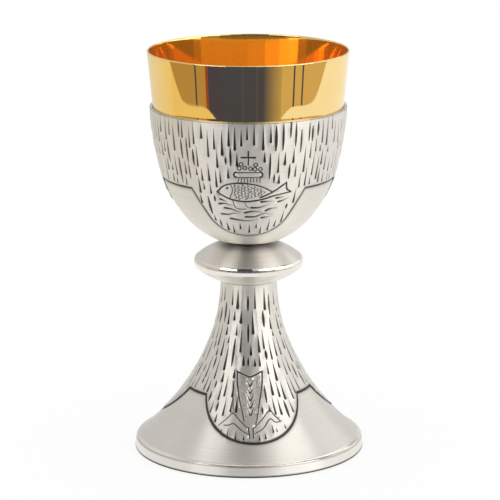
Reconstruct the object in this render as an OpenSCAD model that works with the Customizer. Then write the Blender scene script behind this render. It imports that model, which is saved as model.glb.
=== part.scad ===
// Footed church cup: a gilt bowl in a chased silver shell, on a knop and a trumpet foot.
// Every piece is turned about Z. The foot stands on Z = 0 and the front of the ornament faces -Y.
// The bowl unscrews from the knop; a bolt inside the stem holds the knop on the foot.

/* [Base ring] */
// Radius of the base ring where it stands
ring_r = 57; // [52:0.5:64]
// Height of the base ring
ring_h = 5.5; // [3:0.1:9]
// How far the base ring draws in towards its top
ring_draft = 0.6; // [0:0.1:3]
// Radial thickness of the base ring at its top
ring_wall = 3; // [2:0.1:5]
// Bevel round the bottom edges of the base ring
ring_bevel = 0.4; // [0.1:0.1:1]

/* [Foot bell] */
// Height of the bell above the base ring
bell_h = 79.9; // [74:0.1:92]
// Thickness of the spun bell
bell_wall = 1.2; // [0.8:0.1:2]
// Radius of the plain stem at the top of the bell
stem_r = 13.55; // [12:0.05:16]
// Radius of the bell at its waist
bell_waist_r = 17.4; // [16:0.1:20]
// Height of the waist above the base ring
bell_waist_h = 54.5; // [48:0.1:62]
// Radius of the upper curve of the bell
bell_upper_curve = 84; // [60:1:160]
// Radius of the lower curve of the bell
bell_lower_curve = 115; // [70:1:200]
// Step from the base ring in to the rim of the bell
rim_step = 0.2; // [0.1:0.1:1.5]
// Height of the rounded shoulder above the rim
shoulder_h = 0.8; // [0.5:0.1:2.5]
// Width of the rounded shoulder
shoulder_w = 1.5; // [0.3:0.1:2]
// Radius of the rounded shoulder
shoulder_curve = 1.5; // [1.5:0.1:4]

/* [Chased fields] */
// How far a chased field stands above the plain panels
relief = 0.35; // [0.2:0.05:0.8]
// Number of tongues round the foot and round the shell
tongues = 3; // [2:1:3]
// Height above the base ring where the plain panels of the foot end
foot_panel_h = 26.7; // [22:0.1:34]
// Radius of a tongue of the foot, seen from above
foot_tongue_r = 22.5; // [18:0.1:25]
// Lowest point of a tongue of the foot, as a radius from the axis
foot_tongue_reach = 46; // [40:0.5:50]
// Turn of the foot's ornament against the bowl's ornament, in degrees
foot_turn = 3.5; // [0:0.5:60]
// Height above the shell's floor where its plain panels end
shell_panel_h = 31.4; // [26:0.1:38]
// Height of a tongue's lowest point above the shell's floor
shell_tongue_h = 6.8; // [5:0.1:12]
// Radius of the round end of a tongue of the shell
shell_tongue_r = 22; // [16:0.5:25]
// Flare of the sides of a tongue of the shell, in degrees
shell_tongue_flare = 31; // [20:1:36]

/* [Knop] */
// Largest radius of the knop
knop_r = 27.1; // [24:0.1:32]
// Height of the knop below its equator
knop_low_h = 9.1; // [7.5:0.1:12]
// Height of the knop above its equator
knop_high_h = 9.6; // [8:0.1:13]
// Thickness of the two spun shells of the knop
knop_wall = 1.2; // [0.8:0.1:2]
// Radius of the burnished bead round the equator, seen in section
bead_r = 4.2; // [3.5:0.1:6]
// Half of the bead's height
bead_half_h = 2.2; // [1.5:0.1:3]
// Radius of the curve of the knop's underside
knop_low_curve = 34; // [28:1:80]
// Radius of the curve of the knop's dome
knop_high_curve = 33; // [22:1:60]
// Radius of the flat on top of the knop
knop_flat_r = 12.5; // [11.8:0.1:15]
// How far the knop's foot stands out over the stem
knop_overhang = 0.15; // [0:0.05:0.6]
// Radius of the tapped core inside the knop
core_r = 9; // [7.5:0.1:10.5]
// Radius of the core's spigot through the top of the knop
core_spigot_r = 6.5; // [5.5:0.1:7.2]

/* [Neck] */
// Height of the collar between the knop and the shell
collar_h = 2.6; // [2:0.1:5]
// Radius of the collar
collar_r = 11.4; // [9:0.1:11.8]
// Depth of the cove round the collar
collar_cove = 0.6; // [0.2:0.1:1.2]

/* [Shell round the bowl] */
// Height of the shell above the collar
shell_h = 65.8; // [60:0.2:74]
// Thickness of the shell at its plain panels
shell_wall = 0.8; // [0.6:0.1:1.4]
// Radius of the plain surface at the top of the shell
shell_top_r = 47.8; // [45:0.1:54]
// Radius of the plain surface at the shell's waist
shell_waist_r = 43.35; // [41:0.05:47]
// Height of the waist above the floor of the shell
shell_waist_h = 36.7; // [33:0.1:41]
// Radius of the plain surface at the shell's hip
shell_hip_r = 33.6; // [31:0.1:36]
// Height of the hip above the floor of the shell
shell_hip_h = 14.5; // [13:0.1:17]
// Radius of the flat floor under the shell
shell_floor_r = 16.9; // [14:0.1:19]
// Radius of the top curve of the shell
shell_top_curve = 146; // [90:1:300]
// Radius of the middle curve of the shell
shell_mid_curve = 56; // [40:1:120]
// Radius of the bottom curve of the shell
shell_low_curve = 41; // [30:1:60]

/* [Bowl] */
// Height of the bowl above the shell
bowl_show = 27.5; // [20:0.5:36]
// Thickness of the bowl
bowl_wall = 0.9; // [0.6:0.1:1.5]
// Flare of the bowl from the shell's edge to the lip
lip_flare = 2.5; // [0:0.1:4]
// Gap between the bowl and the shell round it
shell_gap = 0.2; // [0.1:0.05:0.5]
// Radius of the bowl's rounded bottom corner
bowl_corner_r = 18; // [14:0.5:20]
// Angle below the horizontal where the corner gives way to the dished bottom
bowl_corner_end = 70; // [66:1:74]
// Radius of the boss under the bowl
boss_r = 9; // [8:0.1:14]
// Radius of the boss's spigot through the floor of the shell
boss_spigot_r = 6; // [5.2:0.1:7]

/* [Screws] */
// Radius of the stud and of the foot bolt
screw_r = 4; // [3:0.5:4]
// Length of the stud inside the knop's core
stud_engage = 10.2; // [8:0.1:11]
// Depth of the stud's undercut that keeps the collar on it
undercut = 0.7; // [0.5:0.1:1]
// Metal left in the boss above the stud
boss_web = 1; // [0.6:0.1:1.4]
// Space between the end of the stud and the end of the bolt
screw_space = 1.5; // [0.5:0.1:2.5]
// Thickness of the disc that closes the stem
cap_h = 3; // [2:0.1:5]
// Radius of the flat washer
washer_r = 10; // [8.5:0.1:11]
// Thickness of the flat washer
washer_h = 1.6; // [1:0.1:2.5]
// Radius of the spring washer
spring_washer_r = 7.4; // [6.8:0.1:8]
// Thickness of the spring washer
spring_washer_h = 2; // [1.5:0.1:2.5]
// Width of the cut in the spring washer
spring_washer_cut = 1.4; // [0.8:0.1:2]
// Width across the flats of the bolt's head
bolt_flats = 13; // [11:0.5:14]
// Height of the bolt's head
bolt_head_h = 5.3; // [4:0.1:7]

/* [Clearances] */
// Gap filled by solder between pieces that are nested and soldered
solder_gap = 0.05; // [0.02:0.01:0.1]
// Running gap round the stud in the core and in the collar
screw_gap = 0.05; // [0.02:0.01:0.1]
// Gap round the bolt in the holes that it only passes through
bolt_gap = 0.3; // [0.1:0.05:0.6]

/* [Hidden] */
$fn = 96;
// Steps along each curve of a profile
steps = 10;
// How far a cut reaches past the surface that it opens
over = 1;
z_ring = ring_h;
z_stem = z_ring + bell_h;
z_equator = z_stem + knop_low_h;
z_knop = z_equator + knop_high_h;
z_floor = z_knop + collar_h;
z_shell = z_floor + shell_h;
z_lip = z_shell + bowl_show;
z_core = z_stem + knop_wall;
z_stud = z_knop - stud_engage;
z_bolt = z_stud - screw_space;
z_washer = z_stem - cap_h - washer_h;
z_spring_washer = z_washer - spring_washer_h;
z_bolt_head = z_spring_washer - bolt_head_h;
rim_r = ring_r - ring_draft - rim_step;
knop_foot_r = stem_r + relief + knop_overhang;
bolt_hole_r = screw_r + bolt_gap;
screw_bore_r = screw_r + screw_gap;

// Profiles in section are paths of points [radius, height], from the top down or from the axis out.
// A curve turns about centre c at radius r while its outward normal goes from angle a0 to a1.
// Side 1 bulges outwards and side -1 is hollow.
function curve(c, r, a0, a1, side = 1) =
    [for (i = [0:steps])
        let (a = a0 + (a1 - a0) * i / steps)
        c + side * r * [cos(a), sin(a)]];
// Centre of the curve of radius r that goes down from point p to point q
function centre(p, q, r, side) =
    let (d = q - p)
    (p + q) / 2 - side * sqrt(r * r - d * d / 4) * [-d[1], d[0]] / norm(d);
// Angle of the outward normal at point p of a curve about centre c
function normal(c, p, side) = atan2(side * (p[1] - c[1]), side * (p[0] - c[0]));
// The curve of radius r from p down to q
function between(p, q, r, side) =
    let (c = centre(p, q, r, side))
    curve(c, r, normal(c, p, side), normal(c, q, side), side);
function reversed(list) = [for (i = [len(list) - 1:-1:0]) list[i]];
function part_of(list, first, last) = [for (i = [first:last]) list[i]];
// One path from curves that start where the one before ends
function joined(curves) = concat(
    curves[0],
    [for (i = [1:len(curves) - 1]) each part_of(curves[i], 1, len(curves[i]) - 1)]);

// A path moved into the metal by depth. Its ends slide along the level or upright edge of the wall there.
function outward(p, q) = [p[1] - q[1], q[0] - p[0]] / norm(q - p);
function at_end(p, n, depth) =
    abs(n[0]) > abs(n[1]) ? p - [depth / n[0], 0] : p - [0, depth / n[1]];
function at_bend(p, n1, n2, depth) = p - depth * (n1 + n2) / (1 + n1 * n2);
function inset(path, depth) =
    let (last = len(path) - 1)
    let (normals = [for (i = [0:last - 1]) outward(path[i], path[i + 1])])
    concat(
        [at_end(path[0], normals[0], depth)],
        [for (i = [1:last - 1]) at_bend(path[i], normals[i - 1], normals[i], depth)],
        [at_end(path[last], normals[last - 1], depth)]);

// Bell: the plain surface from the stem down to the rim
bell_top = [stem_r, z_stem];
bell_waist = [bell_waist_r, z_ring + bell_waist_h];
bell_shoulder = [rim_r - shoulder_w, z_ring + shoulder_h];
bell_rim = [rim_r, z_ring];
bell_path = joined([
    between(bell_top, bell_waist, bell_upper_curve, -1),
    between(bell_waist, bell_shoulder, bell_lower_curve, -1),
    between(bell_shoulder, bell_rim, shoulder_curve, 1)
]);
// Its two long curves, without the rounded shoulder
function bell_slope(depth) = part_of(inset(bell_path, depth), 0, 2 * steps);

// Shell: the plain surface from its top edge down to its floor
shell_top = [shell_top_r, z_shell];
shell_waist = [shell_waist_r, z_floor + shell_waist_h];
shell_hip = [shell_hip_r, z_floor + shell_hip_h];
shell_floor = [shell_floor_r, z_floor];
shell_path = joined([
    between(shell_top, shell_waist, shell_top_curve, 1),
    between(shell_waist, shell_hip, shell_mid_curve, 1),
    between(shell_hip, shell_floor, shell_low_curve, 1)
]);

// Bowl: it follows the shell down to the hip, then turns a tighter corner into a dished bottom
bowl_upper = part_of(inset(shell_path, shell_wall + shell_gap), 0, 2 * steps);
hip_angle = normal(centre(shell_waist, shell_hip, shell_mid_curve, 1), shell_hip, 1);
corner_centre = bowl_upper[2 * steps] - bowl_corner_r * [cos(hip_angle), sin(hip_angle)];
corner_end = corner_centre + bowl_corner_r * [cos(bowl_corner_end), -sin(bowl_corner_end)];
dish_r = corner_end[0] / cos(bowl_corner_end);
dish_centre = [0, corner_end[1] + dish_r * sin(bowl_corner_end)];
z_bowl = dish_centre[1] - dish_r;
bowl_path = joined([
    bowl_upper,
    curve(corner_centre, bowl_corner_r, hip_angle, -bowl_corner_end),
    curve(dish_centre, dish_r, -bowl_corner_end, -90)
]);
lip = [bowl_upper[0][0] + lip_flare - bowl_wall / 2, z_lip - bowl_wall / 2];

// Knop: a dome above and a shallower curve below, with a bead round the equator
bead_centre = [knop_r - bead_r, z_equator];
bead_angle = asin(bead_half_h / bead_r);
bead_top = bead_centre + bead_r * [cos(bead_angle), sin(bead_angle)];
bead_bottom = bead_centre + bead_r * [cos(bead_angle), -sin(bead_angle)];
knop_flat = [knop_flat_r, z_knop];
knop_foot = [knop_foot_r, z_stem];
knop_high_path = joined([
    [[core_spigot_r + solder_gap, z_knop], knop_flat],
    between(knop_flat, bead_top, knop_high_curve, 1),
    curve(bead_centre, bead_r, bead_angle, 0)
]);
knop_low_path = joined([
    curve(bead_centre, bead_r, 0, -bead_angle),
    between(bead_bottom, knop_foot, knop_low_curve, 1),
    [knop_foot, [bolt_hole_r, z_stem]]
]);

// A flat ring or disc, turned true, with a hole through it
module washer(r, hole_r, h) {
    difference() {
        cylinder(r = r, h = h);
        translate([0, 0, -over]) cylinder(r = hole_r, h = h + 2 * over);
    }
}

// Copies what follows to each tongue of the ornament
module at_tongues(turn) {
    for (i = [0:tongues - 1])
        rotate([0, 0, turn + i * 360 / tongues]) children();
}

module base_ring() {
    inner_r = ring_r - ring_draft - ring_wall;
    color("silver") rotate_extrude() polygon([
        [inner_r, ring_bevel],
        [inner_r + ring_bevel, 0],
        [ring_r - ring_bevel, 0],
        [ring_r, ring_bevel],
        [ring_r - ring_draft, ring_h],
        [inner_r, ring_h]
    ]);
}

// Sheet metal spun to a path, with the wall inside it
module spun(path, wall) {
    rotate_extrude() polygon(concat(path, reversed(inset(path, wall))));
}

// A chased field: a layer that stands above the plain metal, all round above a height
// and lower down only where the tongues given as children are
module chased_field(outside, inside, z_low) {
    intersection() {
        rotate_extrude() polygon(concat(outside, reversed(inside)));
        union() {
            translate([0, 0, z_low]) cylinder(r = ring_r + over, h = z_lip);
            children();
        }
    }
}

module foot_bell() {
    inside = [for (p = bell_slope(bell_wall)) if (p[1] > z_ring) p];
    rim_inside = [inside[len(inside) - 1][0], z_ring];
    color("silver") {
        rotate_extrude() polygon(concat(bell_path, [rim_inside], reversed(inside)));
        chased_field(bell_slope(-relief), bell_slope(bell_wall / 2), z_ring + foot_panel_h)
            at_tongues(foot_turn)
            translate([0, foot_tongue_r - foot_tongue_reach, z_ring])
            cylinder(r = foot_tongue_r, h = foot_panel_h + over);
    }
}

module stem_cap() {
    color("silver") translate([0, 0, z_stem - cap_h])
        washer(stem_r - bell_wall - solder_gap, bolt_hole_r, cap_h);
}

module clamp_washer() {
    color("gray") translate([0, 0, z_washer]) washer(washer_r, bolt_hole_r, washer_h);
}

module spring_washer() {
    color("dimgray") translate([0, 0, z_spring_washer]) difference() {
        washer(spring_washer_r, bolt_hole_r, spring_washer_h);
        translate([0, -spring_washer_cut / 2, -over])
            cube([spring_washer_r + over, spring_washer_cut, spring_washer_h + 2 * over]);
    }
}

module foot_bolt() {
    color("gray") {
        translate([0, 0, z_bolt_head])
            cylinder(r = bolt_flats / 2 / cos(30), h = bolt_head_h, $fn = 6);
        translate([0, 0, z_spring_washer]) cylinder(r = screw_r, h = z_bolt - z_spring_washer);
    }
}

module knop_lower() {
    color("silver") spun(knop_low_path, knop_wall);
}

module knop_core() {
    color("goldenrod") difference() {
        union() {
            translate([0, 0, z_core]) cylinder(r = core_r, h = z_knop - knop_wall - z_core);
            translate([0, 0, z_core]) cylinder(r = core_spigot_r, h = z_knop - z_core);
        }
        translate([0, 0, z_core - over]) cylinder(r = screw_bore_r, h = z_knop - z_core + 2 * over);
    }
}

module knop_upper() {
    color("silver") spun(knop_high_path, knop_wall);
}

module neck_collar() {
    cove_r = (collar_h * collar_h / 4 + collar_cove * collar_cove) / (2 * collar_cove);
    bore_r = screw_r - undercut + screw_gap;
    color("silver") rotate_extrude() difference() {
        translate([bore_r, z_knop]) square([collar_r - bore_r, collar_h]);
        translate([collar_r - collar_cove + cove_r, z_knop + collar_h / 2]) circle(r = cove_r);
    }
}

// Outline of a tongue of the shell from the front: a round end below two flared sides
module shell_tongue() {
    z_low = z_floor + shell_tongue_h;
    z_high = z_floor + shell_panel_h + over;
    side_x = shell_tongue_r * cos(shell_tongue_flare);
    side_z = z_low + shell_tongue_r * (1 - sin(shell_tongue_flare));
    high_x = side_x + (z_high - side_z) * tan(shell_tongue_flare);
    intersection() {
        union() {
            translate([0, z_low + shell_tongue_r]) circle(r = shell_tongue_r);
            polygon([[-side_x, side_z], [side_x, side_z], [high_x, z_high], [-high_x, z_high]]);
        }
        translate([-shell_top_r, z_low - over]) square([2 * shell_top_r, z_high - z_low + over]);
    }
}

module shell() {
    floor_edge = [boss_spigot_r + solder_gap, z_floor];
    color("silver") {
        spun(joined([shell_path, [shell_floor, floor_edge]]), shell_wall);
        chased_field(
            inset(shell_path, -relief), inset(shell_path, shell_wall / 2), z_floor + shell_panel_h)
            at_tongues(0)
            rotate([90, 0, 0])
            linear_extrude(shell_top_r + over)
            shell_tongue();
    }
}

module bowl_boss() {
    seat_r = dish_r + solder_gap;
    seat_edge = -acos(boss_r / seat_r);
    z_inside = z_floor + shell_wall;
    bore_r = screw_r + solder_gap;
    z_bore = z_bowl - solder_gap - boss_web;
    color("goldenrod") rotate_extrude() polygon(concat(
        [[bore_r, z_bore], [bore_r, z_floor], [boss_spigot_r, z_floor], [boss_spigot_r, z_inside]],
        [[boss_r, z_inside]],
        curve(dish_centre, seat_r, seat_edge, -90),
        [[0, z_bore]]
    ));
}

module bowl_stud() {
    neck_r = screw_r - undercut;
    z_top = z_bowl - solder_gap - boss_web - solder_gap;
    color("gray") rotate_extrude() polygon([
        [0, z_stud],
        [neck_r, z_stud],
        [screw_r, z_stud + undercut],
        [screw_r, z_knop - screw_gap],
        [neck_r, z_knop - screw_gap],
        [neck_r, z_floor + screw_gap],
        [screw_r, z_floor + screw_gap],
        [screw_r, z_top],
        [0, z_top]
    ]);
}

module bowl() {
    color("gold") rotate_extrude() polygon(concat(
        curve(lip, bowl_wall / 2, 180, 0),
        bowl_path,
        reversed(inset(bowl_path, bowl_wall))
    ));
}

base_ring();
foot_bell();
stem_cap();
clamp_washer();
spring_washer();
foot_bolt();
knop_lower();
knop_core();
knop_upper();
neck_collar();
shell();
bowl_boss();
bowl_stud();
bowl();
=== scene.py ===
"""Looks of a footed church cup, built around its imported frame.

Lengths are in millimetres until a mesh is made, and azimuths are in degrees until they are placed.
Azimuth 0 is the front of the cup, which faces -Y, and azimuths grow towards +X.
"""

import math

import bpy
import numpy as np
from mathutils import Matrix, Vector
from mathutils.geometry import delaunay_2d_cdt


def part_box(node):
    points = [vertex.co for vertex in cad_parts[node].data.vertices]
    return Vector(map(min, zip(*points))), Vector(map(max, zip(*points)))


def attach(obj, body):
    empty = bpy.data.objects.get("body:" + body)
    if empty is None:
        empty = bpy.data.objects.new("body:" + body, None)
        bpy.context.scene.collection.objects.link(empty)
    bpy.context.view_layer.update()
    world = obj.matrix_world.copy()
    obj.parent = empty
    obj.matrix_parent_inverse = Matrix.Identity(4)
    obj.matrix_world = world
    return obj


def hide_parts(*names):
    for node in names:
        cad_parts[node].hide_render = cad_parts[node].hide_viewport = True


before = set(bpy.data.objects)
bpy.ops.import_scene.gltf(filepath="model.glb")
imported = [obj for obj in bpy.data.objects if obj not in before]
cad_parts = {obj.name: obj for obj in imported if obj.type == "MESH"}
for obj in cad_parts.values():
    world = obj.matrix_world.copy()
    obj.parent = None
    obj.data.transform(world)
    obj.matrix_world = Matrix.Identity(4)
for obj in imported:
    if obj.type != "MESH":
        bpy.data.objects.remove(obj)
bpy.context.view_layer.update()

MM = 0.001
SEED = 11

# Heights of the cup's joints, as in the solids
Z_RING = 5.5
Z_STEM = 85.4
Z_EQUATOR = 94.5
Z_KNOP = 104.1
Z_FLOOR = 106.7
Z_SHELL = 172.5
Z_LIP = 200.0

# Chased fields: how far they stand above the plain panels, and where they end
RELIEF = 0.35
TONGUES = 3
SHELL_PANEL_Z = 138.1
SHELL_TONGUE_Z = 113.5
SHELL_TONGUE_R = 22.0
SHELL_TONGUE_FLARE = math.radians(31)
FOOT_PANEL_Z = 32.2
FOOT_TONGUE_R = 22.5
FOOT_TONGUE_REACH = 46.0
FOOT_TURN = 3.5

# Wall thickness of the spun pieces
SHELL_WALL = 0.8
SHELL_GAP = 0.2
BELL_WALL = 1.2
BOWL_WALL = 0.9
KNOP_WALL = 1.2


# Profiles in section, as points [radius, height]

def wrapped(angle, turn=2 * math.pi):
    """The angle brought within half a turn of 0."""
    return (angle + turn / 2) % turn - turn / 2


def arc(p, q, radius, side=1, step=0.6):
    """Points on the arc from p to q, going down. Side 1 bulges outwards and side -1 is hollow."""
    p, q = np.array(p, float), np.array(q, float)
    d = q - p
    across = np.array([-d[1], d[0]]) / np.linalg.norm(d)
    centre = (p + q) / 2 - side * math.sqrt(radius ** 2 - d @ d / 4) * across
    a0, a1 = [math.atan2(*(end - centre)[::-1]) for end in (p, q)]
    turn = wrapped(a1 - a0)
    count = max(3, round(abs(turn) * radius / step))
    angles = a0 + turn * np.linspace(0, 1, count + 1)
    return centre + radius * np.column_stack([np.cos(angles), np.sin(angles)])


def swing(centre, radius, start, end, count=8):
    """Points on a circle from one angle in degrees to another."""
    angles = np.radians(np.linspace(start, end, count + 1))
    return np.array(centre) + radius * np.column_stack([np.cos(angles), np.sin(angles)])


def joined(*curves):
    """One path from curves that each start where the one before ends."""
    path = np.vstack([np.array(c, float) for c in curves])
    step = np.hypot(*np.diff(path, axis=0).T)
    return path[np.concatenate([[True], step > 1e-6])]


def directions(line):
    """Unit vectors along a line, and to its left."""
    along = np.gradient(line, axis=0)
    along /= np.linalg.norm(along, axis=1)[:, None]
    return along, np.column_stack([-along[:, 1], along[:, 0]])


def normals(path):
    """Outward normals of a path that goes down."""
    return directions(path)[1]


def inset(path, depth):
    """The path moved into the metal."""
    return path - depth * normals(path)


class Turned:
    """A turned surface, unrolled to azimuth in radians and length along its profile.

    Azimuth and level are the places on a flat map of the surface that keeps angles.
    """

    def __init__(self, path):
        self.r, self.z = path.T
        self.normal = normals(path)
        step = np.hypot(*np.diff(path, axis=0).T)
        self.s = np.concatenate([[0], np.cumsum(step)])
        mid = (self.r[1:] + self.r[:-1]) / 2
        self.level = np.concatenate([[0], np.cumsum(step / mid)])

    def radius(self, s):
        return np.interp(s, self.s, self.r)

    def at_height(self, z):
        """Length along the profile where it passes height z."""
        return np.interp(-np.asarray(z, float), -self.z, self.s)

    def at_radius(self, r):
        """Length along a profile that widens downwards where its radius is r."""
        return np.interp(r, self.r, self.s)

    def place(self, u, s, lift=0.0):
        """Points in space at azimuth u and length s, lifted off the surface."""
        r, z = [np.interp(s, self.s, at) + lift * np.interp(s, self.s, away)
                for at, away in ((self.r, self.normal[:, 0]), (self.z, self.normal[:, 1]))]
        return np.column_stack([r * np.sin(u), -r * np.cos(u), z])


# Chasing: grooves, a raised field and the mesh points that they need

FLOOR_SHARE = 0.5
FULL_DARK = 0.28
BURR_REACH = 0.9
BURR_POINTS_AT = 0.7
GRID_COLUMNS = 224
GRID_STEP = 2.0
GRID_ROOM = 0.45
EDGE_LINE = 0.5
EDGE_ROOM = 0.6
EDGE_DARK = 0.75
BATCH = 600
NEAR = 3.5

BORDER_STEP = 0.7
BORDER_SLOPE = 0.45
BORDER_DEPTH = 0.32
BORDER_ROWS = (-2.4, -1.5, -0.95, -0.6, -0.36, 0.36, 0.6, 0.95, 1.5, 2.4)
# Painted shade: a soft darkening on both sides of the border groove, carried with the patina
BORDER_SHADE = 0.32
BORDER_SHADE_REACH = 1.3


def smooth_step(x):
    x = np.clip(x, 0, 1)
    return x * x * (3 - 2 * x)


def segments_along(line, widths, depth, burr=0.0):
    """A groove's segments: azimuth, length, half-width, depth and burr at either end."""
    share = widths / widths.max()
    points = np.column_stack([line, widths, depth * share, burr * share])
    return np.hstack([points[:-1], points[1:]])


class Chasing:
    """What is chased into a turned surface."""

    def __init__(self, surface, flutes, flute_depth, burr, fine_from=math.inf):
        self.surface = surface
        self.burr = burr
        self.fine_from = fine_from
        self.flutes = flutes
        self.flute_depth = flute_depth
        self.points, self.edges, self.segments = [], [], []

    def groove(self, line, widths, depth, burr=0.0):
        """A groove along a line of points (azimuth, length), with half-widths along it."""
        self.segments.extend(segments_along(line, widths, depth, burr))
        for part in (1.0, FLOOR_SHARE):
            self.add_edges(self.around(line, widths * part), closed=True)
        self.points.extend(line)
        if burr:
            self.points.extend(self.around(line, widths + BURR_REACH * BURR_POINTS_AT))

    def around(self, line, widths):
        """A closed outline round a line, at the given distances from it, with round ends."""
        r = self.surface.radius(line[:, 1])
        along, side = directions(np.column_stack([line[:, 0] * r.mean(), line[:, 1]]))
        left = widths[:, None] * side
        turn = np.radians([[-45], [0], [45]])
        tip = widths[-1] * (np.cos(turn) * along[-1] - np.sin(turn) * side[-1])
        butt = widths[0] * (np.sin(turn) * side[0] - np.cos(turn) * along[0])
        starts = np.vstack([line, line[[-1] * 3], line[::-1], line[[0] * 3]])
        steps = np.vstack([left, tip, -left[::-1], butt])
        steps[:, 0] /= self.surface.radius(starts[:, 1])
        return starts + steps

    def add_edges(self, line, closed):
        """Mesh points along a line, joined by edges that the mesh keeps."""
        first, count = len(self.points), len(line)
        self.points.extend(line)
        spans = range(count if closed else count - 1)
        self.edges.extend((first + i, first + (i + 1) % count) for i in spans)

    def add_field(self, border, half_width):
        """A raised field above a border all round, with a dark groove along the border."""
        self.border = border
        self.add_edges(border, closed=False)
        r = self.surface.radius(border[:, 1])[:, None]
        to_length = np.hstack([r, np.ones_like(r)])
        side = -directions(border * to_length)[1]
        side[[0, -1], 0] = 0
        for d in BORDER_ROWS:
            self.points.extend(border + d * side / to_length)
        self.border_segments = segments_along(border, np.full(len(border), half_width), BORDER_DEPTH)
        self.segments.extend(self.border_segments)

    def near(self, u, s, segments):
        """Goes through points in batches by azimuth, each with the segments that lie near it.

        Yields the points' numbers, their distance from each segment, and the half-width, depth and
        burr at its nearest place.
        """
        start, end = np.split(np.asarray(segments).T, 2)
        reach = NEAR / self.surface.radius(start[1])
        low, high = np.minimum(start[0], end[0]) - reach, np.maximum(start[0], end[0]) + reach
        order = np.argsort(u)
        for i in range(0, len(u), BATCH):
            part = order[i:i + BATCH]
            close = (high > u[part[0]]) & (low < u[part[-1]])
            a, way = start[:, None, close], (end - start)[:, None, close]
            r = self.surface.radius(s[part])[:, None]
            ax, ay = (u[part, None] - a[0]) * r, s[part, None] - a[1]
            dx, dy = way[0] * r, way[1]
            t = np.clip((ax * dx + ay * dy) / (dx * dx + dy * dy + 1e-12), 0, 1)
            yield part, np.hypot(ax - t * dx, ay - t * dy), a[2:] + t * way[2:]

    def above_border(self, u, s):
        """Which points lie on the raised field, above its border."""
        a, b = self.border[:-1], self.border[1:]
        du = b[:, 0] - a[:, 0]
        ua = a[:, 0] - u[:, None]
        crosses = (ua <= 0) != (ua + du <= 0)
        level = a[:, 1] - ua / np.where(du == 0, 1, du) * (b[:, 1] - a[:, 1])
        return (crosses & (level > s[:, None])).sum(axis=1) % 2 == 1

    def relief(self, u, s):
        """Height above the plain surface and darkness at points of the surface: patina in the grooves,
        painted shade beside the border, and a dark line at the top edge.
        """
        height, dark = np.zeros(len(u)), np.zeros(len(u))
        for part, away, (width, depth, burr) in self.near(u, s, self.segments):
            cut = np.clip((1 - away / width) / (1 - FLOOR_SHARE), 0, 1)
            swell = np.exp(-(np.maximum(away - width, 0) / BURR_REACH) ** 2)
            height[part] = (burr * swell).max(axis=1) - (depth * cut).max(axis=1)
            dark[part] = (cut * np.minimum(1, depth / FULL_DARK)).max(axis=1)
        waves = [np.cos(n * u + drift * s + at) for n, drift, at in self.flutes]
        flutes = self.flute_depth * np.mean(waves, axis=0)
        for part, away, _ in self.near(u, s, self.border_segments):
            away = away.min(axis=1)
            field = smooth_step(np.where(self.above_border(u[part], s[part]), away / BORDER_SLOPE, 0))
            height[part] += (RELIEF + flutes[part]) * field
            # Painted shade that fades away from the border on both sides
            shade = BORDER_SHADE * np.exp(-(away / BORDER_SHADE_REACH) ** 2)
            dark[part] = np.maximum(dark[part], shade)
        return height, np.where(s < EDGE_LINE / 2, EDGE_DARK, dark)

    def clear_of_grooves(self, u, s):
        """Which points keep their distance from every groove."""
        clear = np.ones(len(u), bool)
        for part, away, (width, _, _) in self.near(u, s, self.segments):
            clear[part] = (away - width).min(axis=1) > GRID_ROOM
        return clear

    def skin(self):
        """Points of the unrolled chased surface with their height and patina, and its triangles."""
        surface = self.surface
        length = surface.s[-1]
        rows = np.linspace(0, length, round(length / GRID_STEP) + 1)
        coarse = rows[(rows < self.fine_from - GRID_STEP / 2) | (rows == length)]
        fine = surface.s[surface.s >= self.fine_from]
        rows = np.unique(np.concatenate([coarse, [EDGE_LINE], fine]))
        around = np.linspace(-math.pi, math.pi, GRID_COLUMNS + 1)
        uu, ss = [grid.ravel() for grid in np.meshgrid(around, rows)]
        edge = (np.abs(uu) > math.pi - 1e-9) | (ss < EDGE_LINE + 1e-9) | (ss > length - 1e-9)
        keep = edge | self.clear_of_grooves(uu, ss)
        own = np.array(self.points)
        own[:, 0] = np.clip(own[:, 0], -math.pi, math.pi)
        own[:, 1] = np.clip(own[:, 1], EDGE_ROOM, length - EDGE_ROOM)
        points = np.vstack([own, np.column_stack([uu[keep], ss[keep]])])
        flat = np.column_stack([points[:, 0], np.interp(points[:, 1], surface.s, surface.level)])
        found = delaunay_2d_cdt([tuple(p) for p in flat], self.edges, [], 0, 1e-6, False)
        flat = np.array([tuple(v) for v in found[0]])
        faces = np.array([f for f in found[2] if len(f) == 3])
        u, s = flat[:, 0], np.interp(flat[:, 1], surface.level, surface.s)
        return u, s, *self.relief(u, s), faces


def welded_at_back(u, s):
    """New numbers of the vertices that join the two edges of an unrolled surface at the back."""
    left = np.flatnonzero(u < -math.pi + 1e-6)
    right = np.flatnonzero(u > math.pi - 1e-6)
    target = np.arange(len(u))
    for i in right:
        target[i] = left[np.argmin(np.abs(s[left] - s[i]))]
    return target


SHARP_ANGLE = 50


def add_object(name, data):
    thing = bpy.data.objects.new(name, data)
    bpy.context.scene.collection.objects.link(thing)
    return thing


def add_mesh(name, vertices, faces, dark=None, polished_from=math.inf):
    """A mesh object from points in millimetres. Outside a radius its metal is polished."""
    mesh = bpy.data.meshes.new(name)
    vertices = np.asarray(vertices)
    mesh.from_pydata([tuple(v) for v in vertices * MM], [], [tuple(map(int, f)) for f in faces])
    dark = np.zeros(len(vertices)) if dark is None else dark
    polish = np.hypot(*vertices[:, :2].T) > polished_from
    # The dark mark holds patina in the grooves, and painted shade and painted reflection where pieces
    # set them; polish marks the polished metal
    for label, values in (("patina_and_painted_light", dark), ("polish", polish)):
        attribute = mesh.attributes.new(label, "FLOAT", "POINT")
        attribute.data.foreach_set("value", np.asarray(values, np.float32))
    mesh.validate()
    mesh.shade_smooth()
    mesh.set_sharp_from_angle(angle=math.radians(SHARP_ANGLE))
    return add_object(name, mesh)


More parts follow.
